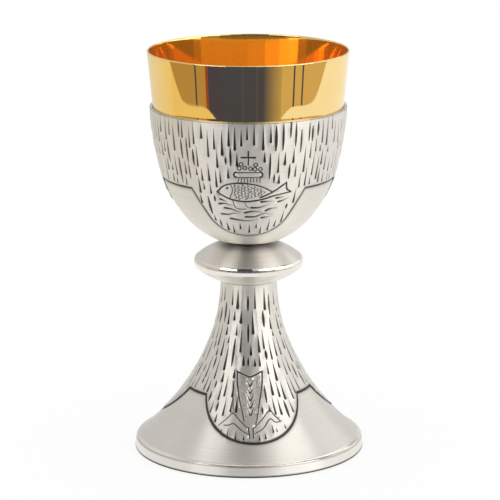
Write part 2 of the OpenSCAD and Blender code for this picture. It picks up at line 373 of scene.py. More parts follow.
def circle(r, z, columns):
    """Points round the axis, starting at the back."""
    u = np.linspace(-math.pi, math.pi, columns, endpoint=False)
    return np.column_stack([r * np.sin(u), -r * np.cos(u), np.full(columns, z)])


def add_ring(vertices, rings, points):
    rings.append(list(range(len(vertices), len(vertices) + len(points))))
    vertices.extend(points)


def ring_faces(rings, closed=False):
    """Faces between rings of vertex numbers. A ring at a pole has one number."""
    columns = max(map(len, rings))
    rings = [ring * (columns // len(ring)) for ring in rings]
    faces = []
    for upper, lower in zip(rings, rings[1:] + (rings[:1] if closed else [])):
        for i in range(columns):
            j = (i + 1) % columns
            corners = list(dict.fromkeys((upper[i], lower[i], lower[j], upper[j])))
            if len(corners) > 2:
                faces.append(corners)
    return faces


def turned_piece(name, path, dark=None, columns=192, polished_from=math.inf):
    """A piece turned from a closed section, with painted light at each of its points: painted shade on
    the silver pieces, painted reflection inside the bowl.
    """
    vertices, rings = [], []
    for r, z in path:
        add_ring(vertices, rings, circle(r, z, columns) if r > 1e-6 else [(0, 0, z)])
    if dark is not None:
        dark = np.repeat(dark, [len(ring) for ring in rings])
    return add_mesh(name, vertices, ring_faces(rings, closed=True), dark, polished_from)


def chased_piece(name, chasing, back_path, polished_from=math.inf):
    """A chased surface closed by a plain turned path from its bottom back to its top."""
    u, s, height, dark, faces = chasing.skin()
    target = welded_at_back(u, s)
    vertices = list(chasing.surface.place(u, s, height))
    faces = [tuple(f) for f in target[faces] if len(set(f)) == 3]

    def edge_ring(at):
        ring = np.flatnonzero(np.abs(s - at) < 1e-4)
        ring = ring[np.argsort(u[ring])]
        return [int(i) for i in ring if target[i] == i]

    rings = [edge_ring(chasing.surface.s[-1])]
    for r, z in back_path:
        add_ring(vertices, rings, circle(r, z, GRID_COLUMNS))
    rings.append(edge_ring(0.0))
    faces.extend(ring_faces(rings))
    used = np.unique(np.concatenate(faces))
    dark = np.concatenate([dark, np.zeros(len(vertices) - len(dark))])
    faces = [np.searchsorted(used, face) for face in faces]
    return add_mesh(name, np.array(vertices)[used], faces, dark[used], polished_from)


# Curves on a surface

DEGREE_LENGTH = 0.7


def curve_through(points, step=0.8):
    """A smooth line through points (azimuth in degrees, height), sampled evenly."""
    p = np.array(points, float)
    if len(p) == 2:
        p = np.array([p[0], (p[0] + p[1]) / 2, p[1]])
    before = np.vstack([2 * p[0] - p[1], p[:-1]])
    after = np.vstack([p[1:], 2 * p[-1] - p[-2]])
    lines = []
    for i in range(len(p) - 1):
        span = np.hypot((p[i + 1, 0] - p[i, 0]) * DEGREE_LENGTH, p[i + 1, 1] - p[i, 1])
        count = max(1, round(span / step))
        t = np.linspace(0, 1, count, endpoint=False)[:, None]
        m0, m1 = (p[i + 1] - before[i]) / 2, (after[i + 1] - p[i]) / 2
        lines.append(
            (2 * t ** 3 - 3 * t ** 2 + 1) * p[i] + (t ** 3 - 2 * t ** 2 + t) * m0
            + (3 * t ** 2 - 2 * t ** 3) * p[i + 1] + (t ** 3 - t ** 2) * m1)
    return np.vstack([*lines, p[-1:]])


def evenly(line, step, surface):
    """The same line of points (azimuth, length) with points about a step apart."""
    flat = np.column_stack([line[:, 0] * surface.radius(line[:, 1]), line[:, 1]])
    parts = [line[:1]]
    for a, b, d in zip(line, line[1:], np.hypot(*np.diff(flat, axis=0).T)):
        count = max(1, math.ceil(d / step))
        parts.append(a + (b - a) * np.linspace(0, 1, count + 1)[1:, None])
    return np.vstack(parts)


# The chased shell round the bowl

SHELL_TOP = (47.8, Z_SHELL)
SHELL_WAIST = (43.35, 143.4)
SHELL_HIP = (33.6, 121.2)
SHELL_FLOOR = (16.9, Z_FLOOR)
SHELL_TOP_CURVE, SHELL_MID_CURVE, SHELL_LOW_CURVE = 146, 56, 41
SHELL_HOLE_R = 6.05

shell_upper = joined(
    arc(SHELL_TOP, SHELL_WAIST, SHELL_TOP_CURVE), arc(SHELL_WAIST, SHELL_HIP, SHELL_MID_CURVE))
shell_path = joined(shell_upper, arc(SHELL_HIP, SHELL_FLOOR, SHELL_LOW_CURVE))


def tongue_turns(turn):
    """Azimuths of the middles of the tongues, the front one in between."""
    return [turn + (i - TONGUES // 2) * 360 / TONGUES for i in range(TONGUES)]


def shell_tongue_half():
    """Right half of a tongue's outline from its bottom up, as points (azimuth, length)."""
    centre = (0, SHELL_TONGUE_Z + SHELL_TONGUE_R)
    end = swing(centre, SHELL_TONGUE_R, -90, -math.degrees(SHELL_TONGUE_FLARE), 24)
    x, z = end[-1]
    top_x = x + (SHELL_PANEL_Z - z) * math.tan(SHELL_TONGUE_FLARE)
    outline = joined(end, np.linspace((x, z), (top_x, SHELL_PANEL_Z), 20))
    s = shell_surface.at_height(outline[:, 1])
    return np.column_stack([np.arcsin(outline[:, 0] / shell_surface.radius(s)), s])


def foot_tongue_half():
    """Right half of a tongue's outline on the foot, a round seen from above."""
    centre = FOOT_TONGUE_REACH - FOOT_TONGUE_R
    turn = np.linspace(0, math.pi, 200)
    x, y = FOOT_TONGUE_R * np.sin(turn), centre + FOOT_TONGUE_R * np.cos(turn)
    s = bell_surface.at_radius(np.hypot(x, y))
    last = np.argmax(s < bell_surface.at_height(FOOT_PANEL_Z))
    return np.column_stack([np.arctan2(x, y), s])[:last]


def border_all_round(surface, half, panel_z, turn):
    """The border of a field from the back round to the back, down and up each tongue."""
    panel_s = float(surface.at_height(panel_z))
    if abs(half[-1, 1] - panel_s) > 1e-6:
        half = np.vstack([half, (half[-1, 0], panel_s)])
    tongue = np.vstack([half[::-1] * (-1, 1), half[1:]])
    tongues = [tongue + (math.radians(middle), 0) for middle in tongue_turns(turn)]
    return evenly(np.vstack([(-math.pi, panel_s), *tongues, (math.pi, panel_s)]), BORDER_STEP, surface)


# Strokes: drops cut with a punch, thin above and round below

STROKE_DEPTH = 0.5
STROKE_TIP = 0.12
STROKE_STEP = 1.8
FULL_STROKE = 0.55
LENS_FROM, LENS_SPAN = 0.08, 0.8


def stroke(chasing, u, s_top, s_bottom, half_width, lens=False):
    """One drop along the meridian, or one lens with both ends thin."""
    steps = max(4, round((s_bottom - s_top) / STROKE_STEP) + 1)
    t = np.linspace(0, 1, steps)
    line = np.column_stack([np.full(steps, u), s_top + (s_bottom - s_top) * t])
    share = np.sin(math.pi * (LENS_FROM + LENS_SPAN * t)) if lens else t
    widths = STROKE_TIP + (half_width - STROKE_TIP) * share
    chasing.groove(line, widths, STROKE_DEPTH * half_width / FULL_STROKE, chasing.burr)


SIDE_ROOM = 2.0
END_ROOM = 1.0
SHORTEST = 2.6
SHORTEN_BY = 0.5
SIDE_JITTER = 0.24
ROW_JITTER = 3.2
TOP_JITTER = 1.5
LENS_SHARE = 0.25


def rain(chasing, free, rows, spacing, lengths, widths, seed):
    """Irregular rows of strokes round a surface, where there is free room for them.

    Lengths and half-widths are given for the first row and the last one, as (least, most) pairs.
    """
    rng = np.random.default_rng(seed)
    surface = chasing.surface
    placed = []
    for number, top in enumerate(rows):
        down = number / (len(rows) - 1)
        (least, most), (thin, thick) = [
            [a + (b - a) * down for a, b in zip(*ends)] for ends in (lengths, widths)]
        r = float(surface.radius(top))
        count = round(2 * math.pi * r / spacing)
        for i in range(count):
            place = i + 0.5 * (number % 2) + rng.uniform(-SIDE_JITTER, SIDE_JITTER)
            u = wrapped(place * 2 * math.pi / count)
            s0 = max(top + rng.uniform(-ROW_JITTER, ROW_JITTER), rows[0] - rng.uniform(0, TOP_JITTER))
            s1 = s0 + rng.uniform(least, most)
            half_width = thin + (thick - thin) * rng.uniform(0, 1) ** 1.5
            lens = rng.uniform() < LENS_SHARE
            for pu, p0, p1 in placed:
                near = abs(wrapped(pu - u)) * float(surface.radius(s0)) < SIDE_ROOM
                if near and p0 - END_ROOM < s1 and s0 < p1 + END_ROOM:
                    s0 = max(s0, p1 + END_ROOM)
            while s1 - s0 > SHORTEST and not free(u, s1 + half_width):
                s1 -= SHORTEN_BY
            while s1 - s0 > SHORTEST and not free(u, s0):
                s0 += SHORTEN_BY
            room = all(free(u, s) for s in ((s0 + s1) / 2, s0, s1 + half_width))
            at_seam = abs(abs(u) - math.pi) * r < SIDE_ROOM
            if s1 - s0 > SHORTEST and room and not at_seam:
                placed.append((u, s0, s1))
                stroke(chasing, u, s0, s1, half_width, lens)


# Motifs, as lines of points (azimuth from the tongue's middle, height)

# Kinds of line: half-width, or half-widths at the start and at the end, and last the depth
LINES = {
    "cross": (0.5, 0.3),
    "loaf": (0.32, 0.28),
    "basket_end": (0.6, 0.3),
    "basket_side": (0.36, 0.22),
    "straw": (0.3, 0.22),
    "fish": (0.48, 0.3),
    "gill": (0.3, 0.22),
    "mouth": (0.2, 0.22),
    "eye": (0.7, 0.28),
    "scale": (0.25, 0.24),
    "fin": (0.36, 0.22),
    "wave": (0.76, 0.24, 0.34),
    "ear_side": (0.5, 0.34, 0.32),
    "ear_top": (0.48, 0.34),
    "leaf": (0.36, 0.26),
    "grain": (0.22, 0.5, 0.3),
    "hatch": (0.22, 0.14),
}

FISH_BACK = [(-20.7, 137.9), (-16.2, 141), (-11.4, 142.3), (-6.6, 142.8), (-0.9, 142.6),
             (7.3, 141.2), (15.1, 138.2)]
FISH_BELLY = [(-20.7, 137.9), (-16.5, 135.9), (-11.8, 134.4), (-3.1, 133.3), (5.1, 133.8),
              (10.5, 134.6), (17.2, 136), (28.8, 137.3)]
FISH_TAIL = [(7.7, 135.2), (15.6, 137.9), (24.8, 142.4)]
FISH = {
    "fish": [FISH_BACK, FISH_BELLY, FISH_TAIL, [(24.8, 142.4), (25.4, 139.2), (28.8, 137.3)]],
    "gill": [[(-11.4, 141.9), (-10.3, 139.2), (-12.5, 134.9)]],
    "mouth": [[(-20.2, 137.9), (-18.4, 138.1)]],
    "eye": [[(-13.7, 140.2), (-13.4, 140.2)]],
}
FISH_FINS = [[(-10.6, 133.6), (-9.5, 130.7), (-6.8, 129.3), (-1.8, 129.3)],
             [(-2.5, 132.8), (-1.7, 131.1), (0.2, 129.9)]]
SCALE_COLUMNS = np.arange(-8.4, 11.5, 2.1)
SCALE_STEP, SCALE_ROOM = 1.5, 0.7
WAVES = [
    [(-19.1, 134.2), (-14.5, 133)],
    [(-20.5, 131.5), (-16.3, 132), (-11.5, 131.2)],
    [(-16.9, 129.6), (-11.8, 129.1), (-7.5, 127.9), (-3.6, 127.6)],
    [(-20.2, 126.1), (-14.7, 126), (-10.5, 126.9), (-6, 126.6)],
    [(-13.7, 123.8), (-7.5, 123.1), (0.4, 122.7), (6.6, 123.8)],
    [(18.8, 134.6), (24.1, 135)],
    [(20.6, 132.6), (24, 133.2), (27.2, 134.3)],
    [(8.5, 133), (12.5, 133.2), (16.9, 133.2)],
    [(1.8, 129.9), (7.4, 130.1), (12.5, 131.4)],
    [(12.3, 128.1), (15.5, 129.2), (20.7, 129.3)],
    [(-2.6, 127.2), (3.3, 128), (10.6, 127.3)],
    [(-2.3, 124.9), (4.9, 125), (11, 126.6), (18, 125.7)],
    [(9.7, 124.2), (15.8, 125)],
]
BELOW_WAVES = [(-13, 120.4, 115.8), (-7, 121.6, 118), (0.6, 121, 116), (6.4, 121.3, 118.8),
               (10.6, 119.4, 115.4), (16.8, 123.2, 117), (22, 122.8, 119)]
BELOW_WAVES_WIDTH = 0.55
CROSS = [[(0, 158.8), (0, 152)], [(-4.3, 155.8), (4.1, 155.8)]]
LOAVES = [
    (-4.4, 152.5), (-5.6, 150.4), (-2.2, 150.6), (1.2, 150.2), (4.3, 152.1), (3.9, 149.9), (7.3, 149.9)]
LOAF_R, LOAF_SURFACE_R = 0.95, 45.5
BASKET, BASKET_SURFACE_R = (-9.0, 8.7, 145.8, 148.3), 44.6
STRAWS, STRAWS_FROM, STRAWS_ACROSS = 8, -6.3, 13.4
STRAW_TOP, STRAW_END = 145.2, 143.3


def add_motif(chasing, lines, strokes, stroke_width, turn):
    """Chases a motif from pairs (kind of line, lines), and single strokes (azimuth, top, bottom)."""
    surface = chasing.surface
    for kind, group in lines:
        *ends, depth = LINES[kind]
        for line in map(np.array, group):
            places = np.column_stack([np.radians(line[:, 0] + turn), surface.at_height(line[:, 1])])
            chasing.groove(places, np.linspace(ends[0], ends[-1], len(line)), depth)
    for azimuth, *heights in strokes:
        top, bottom = map(float, surface.at_height(heights))
        stroke(chasing, math.radians(azimuth + turn), top, bottom, stroke_width)


def smooth(lines):
    return [curve_through(line) for line in lines]


def round_line(centre, radius, surface_r, start, end, count):
    """Part of a circle on the surface."""
    across = math.degrees(radius / surface_r)
    return swing((0, 0), 1, start, end, count) * (across, radius) + centre


def fish_scales():
    """Small crescents in staggered rows inside the fish, a little uneven."""
    rng = np.random.default_rng(SEED)
    back, belly = curve_through(FISH_BACK), curve_through(FISH_BELLY)
    for row, azimuth in enumerate(SCALE_COLUMNS):
        top = np.interp(azimuth, *back.T) - SCALE_ROOM
        bottom = np.interp(azimuth, *belly.T) + SCALE_ROOM
        if azimuth > 8:
            bottom = max(bottom, np.interp(azimuth, *np.array(FISH_TAIL).T) + 0.6)
        z = top - 0.5 - 0.75 * (row % 2)
        while z > bottom + 0.6:
            x = azimuth + rng.uniform(-0.45, 0.45)
            yield [(x - 0.5, z + 0.6), (x + 0.6, z + rng.uniform(-0.3, 0.3)), (x - 0.5, z - 0.6)]
            z -= SCALE_STEP


def fish_motif():
    """A fish on waves under a basket of loaves and a cross."""
    left, right, low, high = BASKET
    half = (high - low) / 2
    across = math.degrees(half / BASKET_SURFACE_R)
    left, right, middle = left + across, right - across, (low + high) / 2
    ends = [round_line((x, middle), half, BASKET_SURFACE_R, 90, to, 6)
            for x, to in ((left, 270), (right, -90))]
    straws = [STRAWS_FROM + i * STRAWS_ACROSS / (STRAWS - 1) for i in range(STRAWS)]
    return [
        ("cross", smooth(CROSS)),
        ("loaf", [round_line(loaf, LOAF_R, LOAF_SURFACE_R, 0, 360, 9) for loaf in LOAVES]),
        ("basket_end", ends),
        ("basket_side", smooth([(left, z), (right, z)] for z in (low, high))),
        ("straw", smooth([(x * 0.96, STRAW_TOP), (x * 1.04, STRAW_END)] for x in straws)),
        *((kind, smooth(lines)) for kind, lines in FISH.items()),
        ("scale", fish_scales()),
        ("fin", smooth(FISH_FINS)),
        ("wave", smooth(WAVES)),
    ]


# Boxes round the fish motif: first and last azimuth, lowest and highest place
FISH_ROOM = [(-6.5, 6.5, 143, 161), (-11.5, 11.5, 143, 150.5), (-22.5, 23, 122, 135),
             (17, 29.5, 131.5, 137), (-16, 25.5, 0, 124)]


def fish_motif_room(azimuth, z):
    """Whether the fish motif keeps a place free of strokes."""
    boxed = any(a < azimuth < b and low < z < high for a, b, low, high in FISH_ROOM)
    body = -22.5 < azimuth < 19 and 132.4 < z < 138 + 5.6 * max(0, 1 - (azimuth / 21) ** 2) + 0.8
    tail = 13 < azimuth < 31.5 and 136 < z < 139.8 + (azimuth - 13) * 0.28
    return boxed or body or tail


def free_room(chasing, motif_room, turn, margin):
    """A test of room for strokes: on the field, clear of its border and of the motif."""
    def free(u, s):
        place = np.array([u]), np.array([s])
        away = next(chasing.near(*place, chasing.border_segments))[1]
        if away.min() <= margin or not chasing.above_border(*place)[0]:
            return False
        z = float(np.interp(s, chasing.surface.s, chasing.surface.z))
        return not motif_room(wrapped(math.degrees(u) - turn, 360 / TONGUES), z)
    return free


shell_surface = Turned(shell_path)

SHELL_LOOK = {
    "flutes": [(67, 0.31, 0.4), (79, -0.26, 2.0), (91, 0.17, 4.1)], "flute_depth": 0.06, "burr": 0.27}
SHELL_BORDER, SHELL_MARGIN = 0.88, 1.2
SHELL_STROKES = {
    "rows": np.arange(1.0, shell_surface.s[-1] - 8, 8.6), "spacing": 3.4,
    "lengths": ((6.5, 13.5), (6.5, 13)), "widths": ((0.56, 0.85), (0.52, 0.76)), "seed": SEED}


def make_shell():
    chasing = Chasing(shell_surface, **SHELL_LOOK)
    border = border_all_round(shell_surface, shell_tongue_half(), SHELL_PANEL_Z, 0)
    chasing.add_field(border, SHELL_BORDER)
    for turn in tongue_turns(0):
        add_motif(chasing, fish_motif(), BELOW_WAVES, BELOW_WAVES_WIDTH, turn)
    rain(chasing, free_room(chasing, fish_motif_room, 0, SHELL_MARGIN), **SHELL_STROKES)
    inner = inset(shell_path, SHELL_WALL)
    above = inner[inner[:, 1] > Z_FLOOR + SHELL_WALL + 0.3]
    back = joined(
        [[SHELL_HOLE_R, Z_FLOOR], [SHELL_HOLE_R, Z_FLOOR + SHELL_WALL]],
        [[above[-1, 0], Z_FLOOR + SHELL_WALL]],
        above[::-4],
        [[SHELL_TOP[0] - SHELL_WALL, Z_SHELL], [SHELL_TOP[0] + RELIEF * 0.6, Z_SHELL]])
    return chased_piece("shell_chased", chasing, back)


# The chased foot

STEM_R = 13.55
BELL_WAIST = (17.4, 60.0)
BELL_SHOULDER = (54.7, 6.3)
BELL_RIM = (56.2, Z_RING)
BELL_UPPER_CURVE, BELL_LOWER_CURVE, SHOULDER_CURVE = 84, 115, 1.5

bell_slope = joined(
    arc((STEM_R, Z_STEM), BELL_WAIST, BELL_UPPER_CURVE, -1),
    arc(BELL_WAIST, BELL_SHOULDER, BELL_LOWER_CURVE, -1))
bell_path = joined(bell_slope, arc(BELL_SHOULDER, BELL_RIM, SHOULDER_CURVE, 1, 0.25))
bell_surface = Turned(bell_path)

WHEAT_TURN = -2.2
EAR_SIDES = [
    [(-15, 44.1), (-13.5, 38.8), (-9.5, 31), (-6.6, 26.4), (-4.8, 22.6)],
    [(14, 44), (12.4, 38.8), (8, 30.7), (5.4, 25), (3.4, 21.3)]]
EAR_TOPS = [[(-15, 44.1), (0, 41.6)], [(0, 41.6), (14, 44)]]
LEAVES = [
    [(-18.2, 39.6), (-15.6, 32), (-13.9, 25.9)],
    [(-23, 20.6), (-18, 23.6), (-13.9, 25.9), (-8, 23), (-2.6, 20.3)],
    [(-19.2, 20.8), (-15.6, 21), (-12.3, 21.8), (-7, 19.4), (-1.8, 17.6)],
    [(22.2, 22.2), (18.5, 24.6), (15.2, 27), (8.5, 23.4), (1.8, 19.9)],
    [(22.2, 22), (18, 22), (14.4, 23.4), (8.5, 19.8), (2.4, 17.8)]]
EAR_STEM = [[(-1.7, 20.3), (-0.8, 16)], [(1.6, 20), (1.5, 16)]]
GRAIN_ROWS, GRAIN_TOP, GRAIN_STEP = 5, 39.4, 3.1
GRAIN_REACH, GRAIN_TAPER = 4.6, 0.09
HATCH_ROWS, HATCH_TOP, HATCH_STEP = 17, 41.2, 1.05
HATCH_SPANS = (0.5, 0.66), (0.72, 0.88)
BELOW_LEAVES_WIDTH = 0.5
BELOW_LEAVES = [
    (-20.2, 19.5, 17.8), (-15.4, 20, 15.7), (-10, 19.1, 15.5), (-4.7, 17.1, 15.5), (5.3, 17.4, 15.2),
    (9.3, 18.2, 15.7), (15, 21, 17.9), (17.7, 19.5, 18.2), (24.3, 20.9, 19.1)]


def wheat_motif():
    """An ear of wheat between two bent leaves."""
    rng = np.random.default_rng(SEED)
    sides, tops, leaves = map(smooth, (EAR_SIDES, EAR_TOPS, LEAVES + EAR_STEM))
    motif = [("ear_side", sides), ("ear_top", tops), ("leaf", leaves)]
    edge = np.array(EAR_SIDES[1])[::-1, ::-1].T
    for side in (-1, 1):
        grains, hatch = [], []
        for row in range(GRAIN_ROWS):
            z = GRAIN_TOP - row * GRAIN_STEP
            reach = GRAIN_REACH * (1 - GRAIN_TAPER * row)
            grains.append([(side * reach, z + 1.4), (side * reach * 0.55, z), (side * 0.5, z - 1.6)])
        for row in range(HATCH_ROWS):
            z = HATCH_TOP - row * HATCH_STEP
            width = np.interp(z, *edge)
            for start, end in HATCH_SPANS:
                x0, x1 = side * width * (start + rng.uniform(-0.05, 0.05)), side * width * end
                low = z + rng.uniform(-0.3, 0.3)
                hatch.append([(x0, low), ((x0 + x1) / 2, low + 0.5), (x1, low + 0.8)])
        motif += [("grain", smooth(grains)), ("hatch", hatch)]
    return motif


def wheat_room(azimuth, z):
    """Whether the wheat keeps a place free of strokes."""
    azimuth -= WHEAT_TURN
    ear = abs(azimuth) < 4.5 + 13 * np.clip((z - 19) / 25, 0, 1) and 18 < z < 46
    leaf = abs(azimuth) < 26 and z < 23 + 3.5 * max(0, 1 - abs(abs(azimuth) - 14) / 11)
    return ear or leaf


FOOT_LOOK = {
    "flutes": [(31, 0.12, 0.9), (38, -0.1, 3.3), (47, 0.08, 5.2)], "flute_depth": 0.05, "burr": 0.14}
FOOT_BORDER, FOOT_MARGIN = 0.92, 0.9
FOOT_STROKES = {
    "rows": (2.8, 10.0, 17.5, 25.5, 34.0, 43.0, 52.5, 62.0, 71.0), "spacing": 2.7,
    "lengths": ((6.5, 11), (12, 21)), "widths": ((0.5, 0.92), (0.56, 0.84)), "seed": SEED + 1}
FOOT_POLISHED_R = 54.5
FINE_ABOVE_SHOULDER = 0.7


def make_foot():
    fine_from = float(bell_surface.at_radius(BELL_SHOULDER[0])) - FINE_ABOVE_SHOULDER
    chasing = Chasing(bell_surface, **FOOT_LOOK, fine_from=fine_from)
    border = border_all_round(bell_surface, foot_tongue_half(), FOOT_PANEL_Z, FOOT_TURN)
    chasing.add_field(border, FOOT_BORDER)
    for turn in tongue_turns(FOOT_TURN):
        add_motif(chasing, wheat_motif(), BELOW_LEAVES, BELOW_LEAVES_WIDTH, turn + WHEAT_TURN)
    rain(chasing, free_room(chasing, wheat_room, FOOT_TURN, FOOT_MARGIN), **FOOT_STROKES)
    inner = inset(bell_slope, BELL_WALL)
    inner = inner[inner[:, 1] > Z_RING + 0.4]
    top = [[STEM_R - BELL_WALL, Z_STEM], [STEM_R + RELIEF * 0.5, Z_STEM]]
    back = joined([[inner[-1, 0], Z_RING]], inner[::-4], top)
    return chased_piece("foot_chased", chasing, back, polished_from=FOOT_POLISHED_R)


# Plain turned pieces

CORNER_R, CORNER_END = 18.0, -70.0
LIP_FLARE = 2.5


def make_bowl():
    """The bowl, with painted reflection on its inside: a deeper orange that stands in for light bounced
    round the gilt.
    """
    upper = inset(shell_upper, SHELL_WALL + SHELL_GAP)
    n = normals(shell_upper)[-1]
    centre = upper[-1] - CORNER_R * n
    corner = swing(centre, CORNER_R, math.degrees(math.atan2(n[1], n[0])), CORNER_END, 18)
    dish_r = corner[-1, 0] / math.cos(math.radians(CORNER_END))
    dish_centre = (0, corner[-1, 1] - dish_r * math.sin(math.radians(CORNER_END)))
    dish = swing(dish_centre, dish_r, CORNER_END, -90, 10)
    lip_r = SHELL_TOP[0] - SHELL_WALL - SHELL_GAP + LIP_FLARE
    wall = np.linspace((lip_r, Z_LIP - BOWL_WALL / 2), (upper[0, 0], upper[0, 1] + 0.5), 30)
    outside = joined(wall, upper, corner, dish)
    inside = inset(outside, BOWL_WALL)
    inside[-1, 0] = 0
    outside[-1, 0] = 0
    lip = swing((lip_r - BOWL_WALL / 2, Z_LIP - BOWL_WALL / 2), BOWL_WALL / 2, 180, 0, 8)
    outside, inside = joined(lip, outside[1:]), inside[::-1][:-1]
    # Painted reflection: the inside takes the deeper orange of bounced light
    painted_inside_reflection = np.repeat([0, 1], [len(outside), len(inside)])
    return turned_piece("bowl_gilt", joined(outside, inside), painted_inside_reflection, columns=256)


KNOP_R = 27.1
BEAD_R, BEAD_HALF = 4.2, 2.2
KNOP_FLAT_R, KNOP_FOOT_R = 12.5, 14.05
KNOP_HIGH_CURVE, KNOP_LOW_CURVE = 33, 34
CORE_SPIGOT_R, BOLT_HOLE_R = 6.55, 4.3
BEAD_ANGLE = math.degrees(math.asin(BEAD_HALF / BEAD_R))
BEAD_POLISHED_R = 26.2
# Painted shade on the knop's top under the shell: how dark it is at the collar, and how far out it
# fades
KNOP_SHADE = 0.6
KNOP_SHADE_REACH = 6.0
bead_centre = (KNOP_R - BEAD_R, Z_EQUATOR)


def make_knop_upper():
    bead = swing(bead_centre, BEAD_R, BEAD_ANGLE, 0, 8)
    path = joined(
        [[CORE_SPIGOT_R, Z_KNOP], [KNOP_FLAT_R - 0.4, Z_KNOP]],
        arc((KNOP_FLAT_R, Z_KNOP - 0.02), bead[0], KNOP_HIGH_CURVE), bead)
    inner = inset(path, KNOP_WALL)
    inner[0] = (CORE_SPIGOT_R, Z_KNOP - KNOP_WALL)
    inner[-1, 1] = Z_EQUATOR
    section = joined(path, inner[::-1])
    # Painted shade, darkest next to the collar and fading outwards
    shade = KNOP_SHADE * (1 - smooth_step((section[:, 0] - KNOP_FLAT_R) / KNOP_SHADE_REACH))
    return turned_piece("knop_dome", section, shade, polished_from=BEAD_POLISHED_R)


def make_knop_lower():
    bead = swing(bead_centre, BEAD_R, 0, -BEAD_ANGLE, 8)
    under = arc(bead[-1], (KNOP_FOOT_R, Z_STEM), KNOP_LOW_CURVE)
    path = joined(bead, under, [[BOLT_HOLE_R, Z_STEM]])
    inner = inset(path, KNOP_WALL)
    inner[0, 1] = Z_EQUATOR
    inner[-1] = (BOLT_HOLE_R, Z_STEM + KNOP_WALL)
    inner[-2] = (KNOP_FOOT_R, Z_STEM + KNOP_WALL)
    return turned_piece("knop_under", joined(path, inner[::-1]), polished_from=BEAD_POLISHED_R)


RING_R, RING_TOP_R, RING_INNER_R = 57.0, 56.4, 53.4
RING_EDGE, RING_BEVEL = 0.3, 0.5
# Painted shade: how dark the line along the joint with the bell is, and the height up to which a
# painted contact shadow darkens the band at the table
RING_SEAM_PAINTED_SHADE = 0.45
RING_GROUND_LINE = 0.65
RING_SLOPE = math.degrees(math.atan2(RING_R - RING_TOP_R, Z_RING))


def make_base_ring():
    """The band that the cup stands on, with painted shade in lines where it meets the table and the
    bell.
    """
    side = joined(
        [[RING_INNER_R, Z_RING]],
        swing((RING_TOP_R - RING_EDGE, Z_RING - RING_EDGE), RING_EDGE, 90, RING_SLOPE, 5))
    under = joined(
        swing((RING_R - RING_BEVEL, RING_BEVEL), RING_BEVEL, -20, -90, 5),
        [[RING_INNER_R + RING_BEVEL, 0.0], [RING_INNER_R, RING_BEVEL]])
    wall = np.linspace(side[-1], (RING_R - 0.02, RING_BEVEL + 0.1), 8)[1:]
    path = joined(side, wall, under)
    # Painted contact shadow at the table, and painted shade along the joint with the bell
    painted_contact_shadow = path[:, 1] < RING_GROUND_LINE
    painted_seam_shade = path[:, 1] > Z_RING - RING_EDGE
    return turned_piece("base_band", path, painted_contact_shadow + RING_SEAM_PAINTED_SHADE * painted_seam_shade, columns=256)


COLLAR_R, COLLAR_COVE, COLLAR_BORE = 11.4, 0.6, 3.35
# Painted shade: the whole collar is darkened as the recess between the knop and the shell
COLLAR_PAINTED_SHADE = 0.85


def make_collar():
    half = (Z_FLOOR - Z_KNOP) / 2
    radius = (half ** 2 + COLLAR_COVE ** 2) / (2 * COLLAR_COVE)
    cove = arc((COLLAR_R, Z_FLOOR), (COLLAR_R, Z_KNOP), radius, -1, 0.25)
    path = joined([[COLLAR_BORE, Z_FLOOR]], cove, [[COLLAR_BORE, Z_KNOP]])
    # Painted shade over the whole collar
    return turned_piece("collar_cove", path, np.full(len(path), COLLAR_PAINTED_SHADE))


# The stud that screws into the knop

PITCH = 1.25
SCREW_R, NECK_R, NECK_GAP = 4.0, 3.3, 0.05
THREAD_DEPTH, THREAD_SLOPE, THREAD_CREST, THREAD_END = 0.65, 2.6, 0.15, 0.3
STUD_COLUMNS, ROWS_PER_TURN = 48, 10


def make_stud():
    """A thread, a neck and a plain end."""
    low, high = [corner.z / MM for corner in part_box("bowl_stud")]
    neck_low, neck_high = Z_KNOP - NECK_GAP, Z_FLOOR + NECK_GAP
    u = np.linspace(0, 2 * math.pi, STUD_COLUMNS, endpoint=False)
    rows = []
    for z in np.linspace(low, neck_low, round((neck_low - low) / PITCH * ROWS_PER_TURN) + 1):
        phase = (z / PITCH - u / (2 * math.pi)) % 1
        ridge = np.clip(THREAD_SLOPE * np.abs(phase - 0.5) - THREAD_CREST, 0, 1)
        at_end = min(z - low, neck_low - z) < THREAD_END
        rows.append((SCREW_R - THREAD_DEPTH * (1 if at_end else ridge), z))
    rows += [(NECK_R, z) for z in np.linspace(neck_low, neck_high, 3)]
    rows += [(SCREW_R, z) for z in np.linspace(neck_high, high, 3)]
    vertices, rings = [], []
    add_ring(vertices, rings, [(0, 0, low)])
    for r, z in rows:
        points = np.column_stack([r * np.cos(u), r * np.sin(u), np.full(STUD_COLUMNS, z)])
        add_ring(vertices, rings, points)
    add_ring(vertices, rings, [(0, 0, high)])
    faces = [face[::-1] for face in ring_faces(rings[::-1])]
    return add_mesh("stud_threaded", vertices, faces)


# Materials

RAMP_FROM, RAMP_TO = 0.3, 0.7


def grey(v):
    return (v, v, v)


